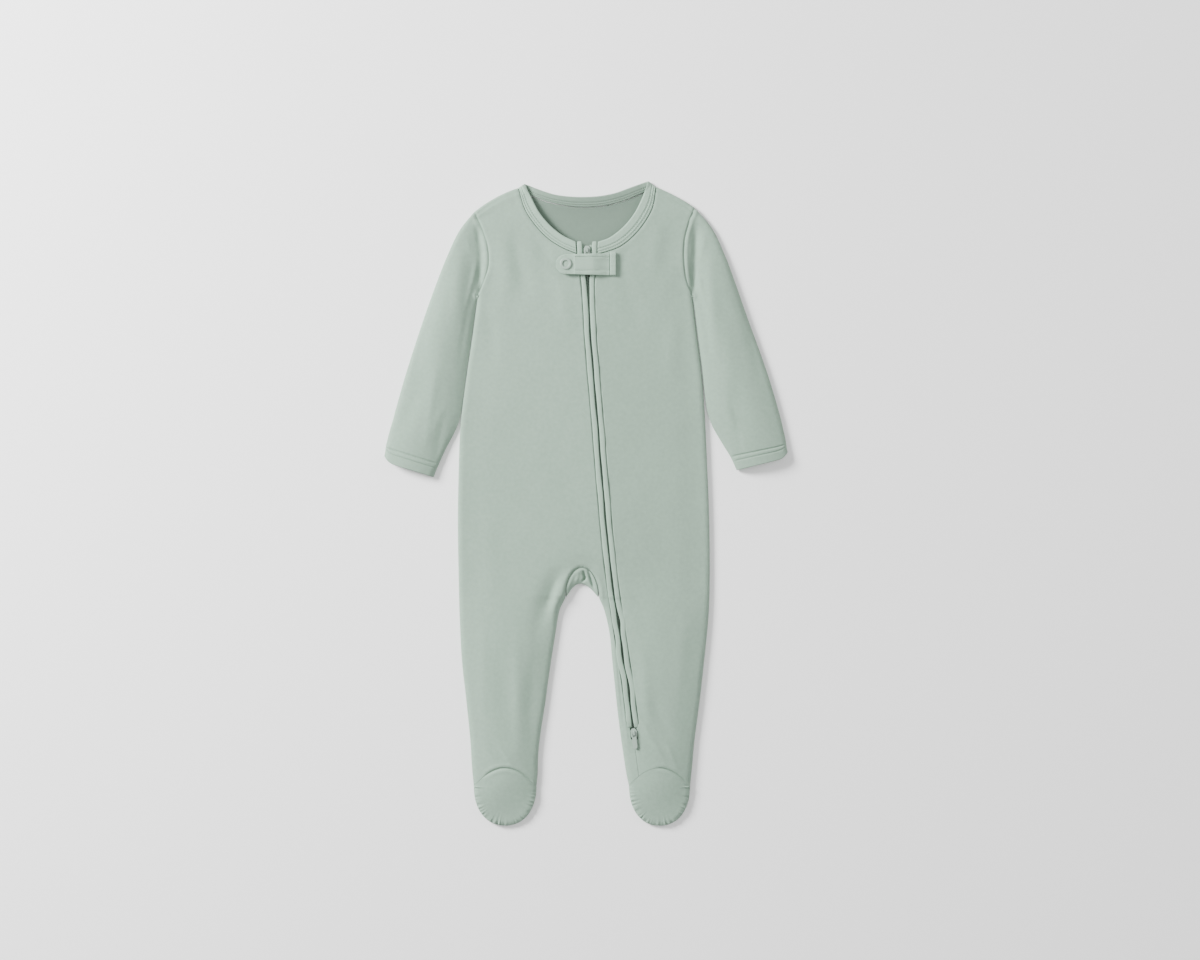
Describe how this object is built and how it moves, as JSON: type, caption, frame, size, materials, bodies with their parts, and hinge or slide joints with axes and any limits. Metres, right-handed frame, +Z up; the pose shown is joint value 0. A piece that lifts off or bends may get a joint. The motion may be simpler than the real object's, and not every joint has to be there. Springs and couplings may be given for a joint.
{
  "type": "footed baby sleepsuit laid flat",
  "caption": "Baby sleepsuit with feet, long sleeves, a bound neck and a slanting front zip with a snapped tab, laid flat on its back.",
  "frame": {"origin": "on the surface the suit lies on, under the middle of its outline", "axes": "+X towards the wearer's left, +Y towards the neck, +Z up from the surface through back and front"},
  "size_m": [0.3744, 0.5982, 0.0155],
  "materials": {
    "jersey": "soft brushed cotton jersey, sage green",
    "binding": "folded cotton jersey edge, stitched",
    "zip_tape": "woven tape",
    "zip_teeth": "matte coil",
    "zip_metal": "sage paint",
    "snap": "sage paint"
  },
  "bodies": {
    "garment": {"back_panel": "jersey", "front_panel_right": "jersey", "front_panel_left": "jersey", "sleeve_right": "jersey", "sleeve_left": "jersey", "gusset": "jersey", "toe_cap_right": "jersey", "toe_cap_left": "jersey", "sole_right": "jersey", "sole_left": "jersey", "neck_binding": "binding", "zip_welt_right": "binding", "zip_welt_left": "binding", "tab_strap": "binding", "tab_end": "binding", "zip_tape_right": "zip_tape", "zip_tape_left": "zip_tape", "zip_chain": "zip_teeth", "zip_slider_upper": "zip_metal", "zip_pull_upper": "zip_metal", "zip_slider_lower": "zip_metal", "snap_ring": "snap", "snap_stud": "snap"},
    "lower_pull": {"zip_pull_lower": "zip_metal"}
  },
  "joints": [
    {"name": "lower_pull_hinge", "type": "hinge", "parent": "garment", "child": "lower_pull", "pos_m": [0.04431, -0.2126, 0.01071], "axis": [-0.9945, -0.1046, 0], "range_deg": [0, 150]}
  ]
}
